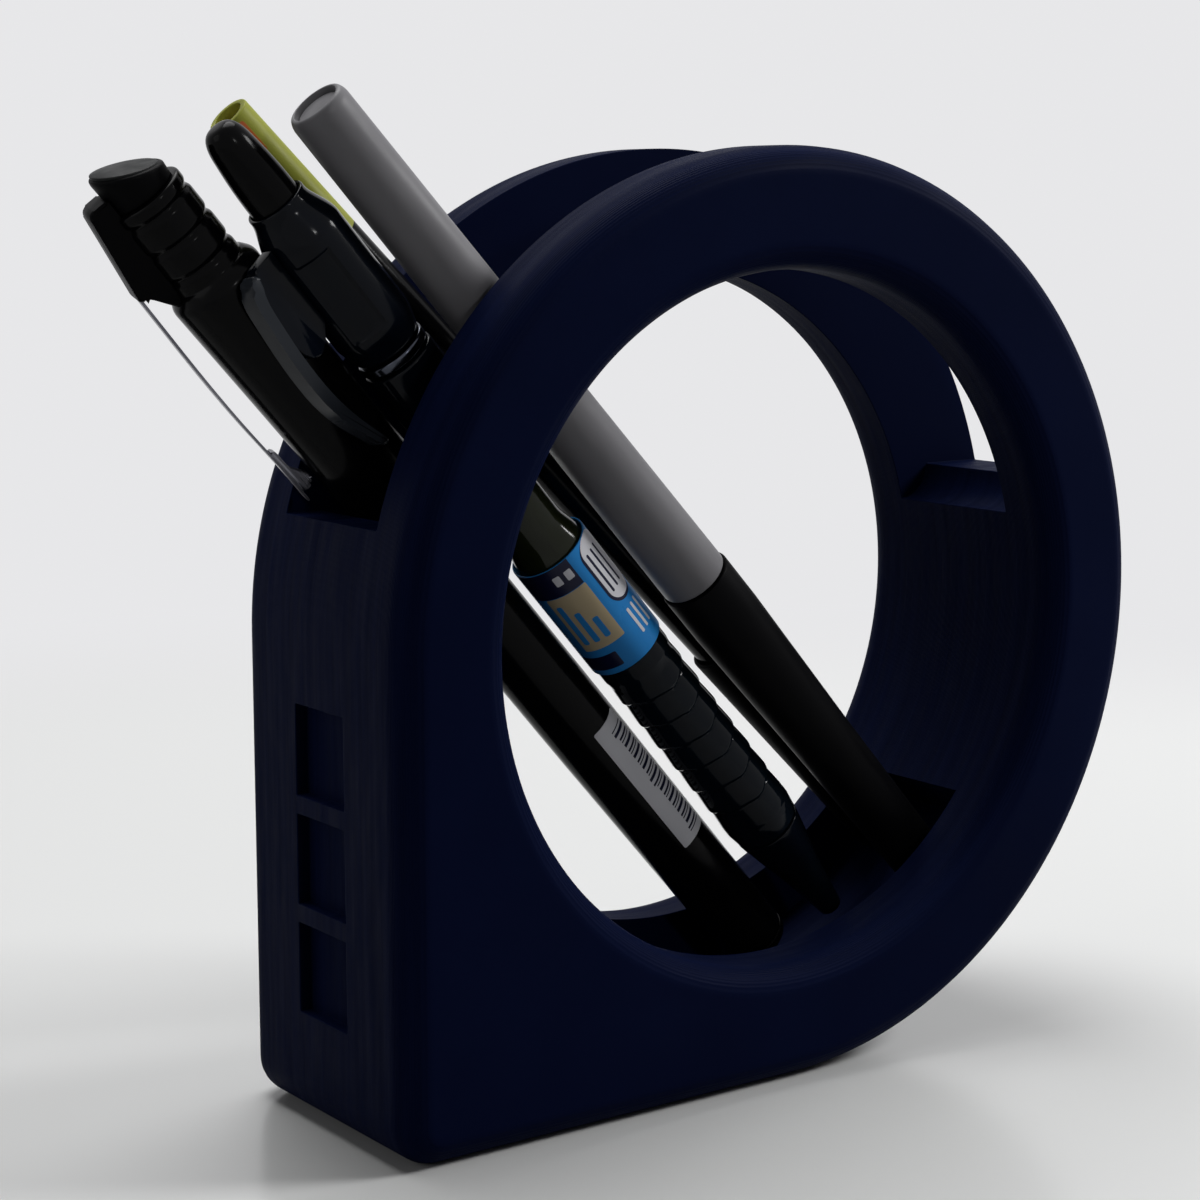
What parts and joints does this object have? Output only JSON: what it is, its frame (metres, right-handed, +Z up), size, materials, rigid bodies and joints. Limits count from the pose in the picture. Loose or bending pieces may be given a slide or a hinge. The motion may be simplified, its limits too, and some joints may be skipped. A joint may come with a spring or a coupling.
{
  "type": "pen holder",
  "caption": "Round desk pen holder: a ring on a squared foot with a slotted top and an inner channel, shown with the pens that stand in it.",
  "frame": {"origin": "middle of the flat foot that the holder stands on", "axes": "+Z up; +Y through the ring from its front cheek to its rear cheek; +X from the squared side with the recesses towards the round side"},
  "size_m": [0.1515, 0.04, 0.1316],
  "materials": {
    "navy_print": "matt layered print, very dark navy",
    "black_gloss": "polished black plastic",
    "black_satin": "satin black plastic",
    "bright_metal": "bright plated steel",
    "grey_satin": "satin mid grey plastic",
    "smoke_clear": "dark blue translucent plastic",
    "tinted_clear": "pale tinted clear plastic",
    "label_film": "printed plastic sleeve",
    "yellow_clear": "yellow green translucent plastic",
    "orange_satin": "satin orange plastic",
    "ink_tube": "dark ink tube",
    "felt": "pressed felt",
    "brass": "polished brass"
  },
  "bodies": {
    "holder": {"holder_body": "navy_print"},
    "roller": {"roller_tail_plug": "black_gloss", "roller_barrel": "black_gloss", "roller_reservoir": "ink_tube", "roller_section": "black_satin", "roller_point": "bright_metal"},
    "roller_cap": {"roller_cap": "black_gloss", "roller_crown": "black_satin", "roller_clip": "bright_metal"},
    "gel": {"gel_nose": "smoke_clear", "gel_bottle": "tinted_clear", "gel_label": "label_film", "gel_neck_cap": "smoke_clear", "gel_collar": "bright_metal", "gel_upper_barrel": "smoke_clear", "gel_clip": "tinted_clear"},
    "gel_button": {"gel_button": "black_gloss"},
    "gel_rotor": {"gel_rotor": "black_satin"},
    "gel_refill": {"gel_refill": "ink_tube", "gel_point": "bright_metal", "gel_spring": "bright_metal"},
    "marker_cap": {"marker_cap": "black_satin"},
    "marker": {"marker_barrel": "grey_satin", "marker_end_plug": "grey_satin", "marker_reservoir": "felt", "marker_section": "black_satin", "marker_nib": "felt"},
    "stick_cap": {"stick_cap": "black_satin"},
    "stick": {"stick_barrel": "yellow_clear", "stick_end_plug": "orange_satin", "stick_refill": "ink_tube", "stick_point": "brass"}
  },
  "joints": [
    {"name": "roller_lift", "type": "slide", "parent": "holder", "child": "roller", "axis": [-0.6626, 0, 0.749], "range_m": [0, 0.12]},
    {"name": "roller_cap_pull", "type": "slide", "parent": "roller", "child": "roller_cap", "axis": [-0.6626, 0, 0.749], "range_m": [0, 0.06]},
    {"name": "gel_lift", "type": "slide", "parent": "holder", "child": "gel", "axis": [-0.6626, 0, 0.749], "range_m": [0, 0.12]},
    {"name": "gel_click", "type": "slide", "parent": "gel", "child": "gel_button", "axis": [0.6626, 0, -0.749], "range_m": [0, 0.0035], "stiffness_N_per_m": 250, "springref_m": -0.002},
    {"name": "gel_rotor_turn", "type": "hinge", "parent": "gel_button", "child": "gel_rotor", "pos_m": [0.04981, -0.0013, 0.01669], "axis": [-0.6626, 0, 0.749], "range_deg": [0, 45]},
    {"name": "gel_refill_slide", "type": "slide", "parent": "gel", "child": "gel_refill", "axis": [0.6626, 0, -0.749], "range_m": [0, 0.0035], "deforming": ["gel_spring"]},
    {"name": "marker_lift", "type": "slide", "parent": "holder", "child": "marker_cap", "axis": [-0.6626, 0, 0.749], "range_m": [0, 0.12]},
    {"name": "marker_pull", "type": "slide", "parent": "marker_cap", "child": "marker", "axis": [-0.682, 0, 0.7314], "range_m": [0, 0.034]},
    {"name": "stick_lift", "type": "slide", "parent": "holder", "child": "stick_cap", "axis": [-0.6626, 0, 0.749], "range_m": [0, 0.12]},
    {"name": "stick_pull", "type": "slide", "parent": "stick_cap", "child": "stick", "axis": [-0.7193, 0, 0.6947], "range_m": [0, 0.034]}
  ],
  "couplings": [
    {"joint": "gel_rotor_turn", "follows": "gel_click", "rad_per_m": 224.39},
    {"joint": "gel_refill_slide", "follows": "gel_click", "ratio": 1}
  ]
}
